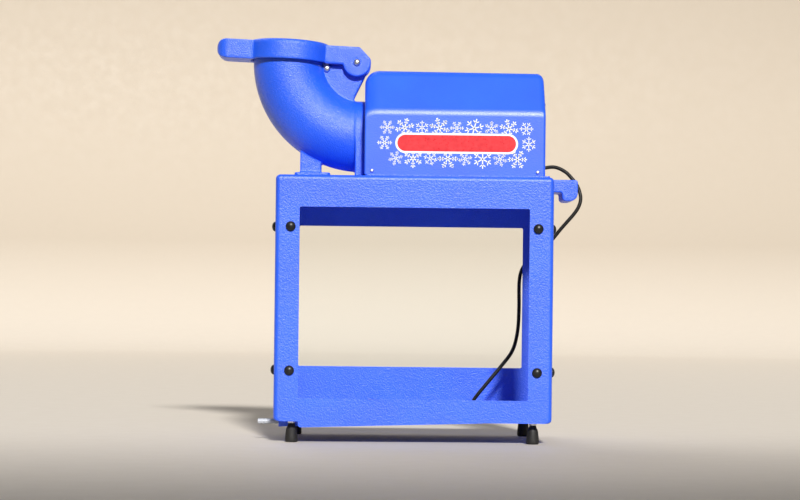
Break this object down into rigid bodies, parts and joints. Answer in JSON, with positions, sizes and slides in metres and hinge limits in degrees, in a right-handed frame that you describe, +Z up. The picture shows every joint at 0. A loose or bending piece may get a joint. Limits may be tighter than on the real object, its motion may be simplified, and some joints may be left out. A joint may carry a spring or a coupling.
{
  "type": "shaved ice machine",
  "caption": "Countertop shaved ice machine: windowed snow cabinet on levelling feet, feed elbow with lever lid, motor hood and rear serving opening.",
  "frame": {"origin": "centre of the machine's own box, without its cord, at the level of the rubber feet's undersides", "axes": "+Z up; -Y is the customer side with the windowed front; +Y is the operator side with the serving opening; +X runs from the feed elbow to the motor hood and side handle"},
  "size_m": [0.7514, 0.3784, 0.7962],
  "materials": {
    "painted_sheet": "royal blue textured powder coat on sheet steel, satin with a fine orange-peel grain",
    "painted_casting": "royal blue powder coat over an aluminium casting, satin with soft highlights",
    "clear_acrylic": "clear polished acrylic sheet",
    "black_plastic": "black moulded nylon, lightly satin",
    "milky_tube": "milky flexible vinyl",
    "black_rubber": "black moulded rubber",
    "bright_steel": "bright zinc-plated steel",
    "stainless": "ground stainless steel",
    "cast_aluminium": "bare sand-cast aluminium",
    "motor_paint": "dark grey motor enamel",
    "switch_red": "glossy red rocker",
    "cord_jacket": "black flexible cord jacket with a soft sheen",
    "decal_white": "white printed film",
    "decal_red": "red printed film"
  },
  "bodies": {
    "cabinet": {"front_panel": "painted_sheet", "rear_panel": "painted_sheet", "left_panel": "painted_sheet", "right_panel": "painted_sheet", "top_deck": "painted_sheet", "floor_pan": "painted_sheet", "drain_sump": "painted_sheet", "base_plate": "painted_sheet", "hood": "painted_sheet", "feed_elbow": "painted_casting", "hinge_web": "painted_casting", "side_handle": "painted_casting", "front_window": "clear_acrylic", "left_window": "clear_acrylic", "right_window": "clear_acrylic", "front_fastener_left_lower": "black_plastic", "front_fastener_right_lower": "black_plastic", "front_fastener_left_upper": "black_plastic", "front_fastener_right_upper": "black_plastic", "left_fastener_front_lower": "black_plastic", "left_fastener_rear_lower": "black_plastic", "right_fastener_front_lower": "black_plastic", "right_fastener_rear_lower": "black_plastic", "left_fastener_front_upper": "black_plastic", "left_fastener_rear_upper": "black_plastic", "right_fastener_front_upper": "black_plastic", "right_fastener_rear_upper": "black_plastic", "drain_spigot": "milky_tube", "stop_screw": "bright_steel", "hinge_pin": "bright_steel", "hood_screw_left": "bright_steel", "hood_screw_right": "bright_steel", "front_bearing": "bright_steel", "rear_bearing": "bright_steel", "ice_chute": "stainless", "shaver_housing": "cast_aluminium", "motor_case": "motor_paint", "switch_body": "black_plastic", "strain_relief": "cord_jacket", "cord_lead": "cord_jacket", "cord_tail": "cord_jacket", "cord_coil": "cord_jacket", "plug": "cord_jacket"},
    "lid": {"lid": "painted_casting", "ice_pusher": "cast_aluminium"},
    "rotor": {"motor_shaft": "bright_steel", "cutter_disc": "stainless", "blade_1": "stainless", "blade_2": "stainless", "blade_3": "stainless", "cooling_fan": "black_plastic"},
    "rocker": {"switch_rocker": "switch_red"},
    "levelling_foot_front_left": {"foot_front_left": "black_rubber", "stud_front_left": "bright_steel"},
    "levelling_foot_front_right": {"foot_front_right": "black_rubber", "stud_front_right": "bright_steel"},
    "levelling_foot_rear_left": {"foot_rear_left": "black_rubber", "stud_rear_left": "bright_steel"},
    "levelling_foot_rear_right": {"foot_rear_right": "black_rubber", "stud_rear_right": "bright_steel"}
  },
  "joints": [
    {"name": "lid_hinge", "type": "hinge", "parent": "cabinet", "child": "lid", "pos_m": [-0.07942, 0.0039, 0.7505], "axis": [0, 1, 0], "range_deg": [0, 105]},
    {"name": "rotor_spin", "type": "hinge", "parent": "cabinet", "child": "rotor", "pos_m": [0.03658, 0.0039, 0.6035], "axis": [1, 0, 0], "continuous": true},
    {"name": "switch_rock", "type": "hinge", "parent": "cabinet", "child": "rocker", "pos_m": [0.22658, 0.1259, 0.5935], "axis": [1, 0, 0], "range_deg": [-18, 0]},
    {"name": "foot_adjust_front_left", "type": "slide", "parent": "cabinet", "child": "levelling_foot_front_left", "axis": [0, 0, -1], "range_m": [0, 0.012]},
    {"name": "foot_adjust_front_right", "type": "slide", "parent": "cabinet", "child": "levelling_foot_front_right", "axis": [0, 0, -1], "range_m": [0, 0.012]},
    {"name": "foot_adjust_rear_left", "type": "slide", "parent": "cabinet", "child": "levelling_foot_rear_left", "axis": [0, 0, -1], "range_m": [0, 0.012]},
    {"name": "foot_adjust_rear_right", "type": "slide", "parent": "cabinet", "child": "levelling_foot_rear_right", "axis": [0, 0, -1], "range_m": [0, 0.012]}
  ]
}
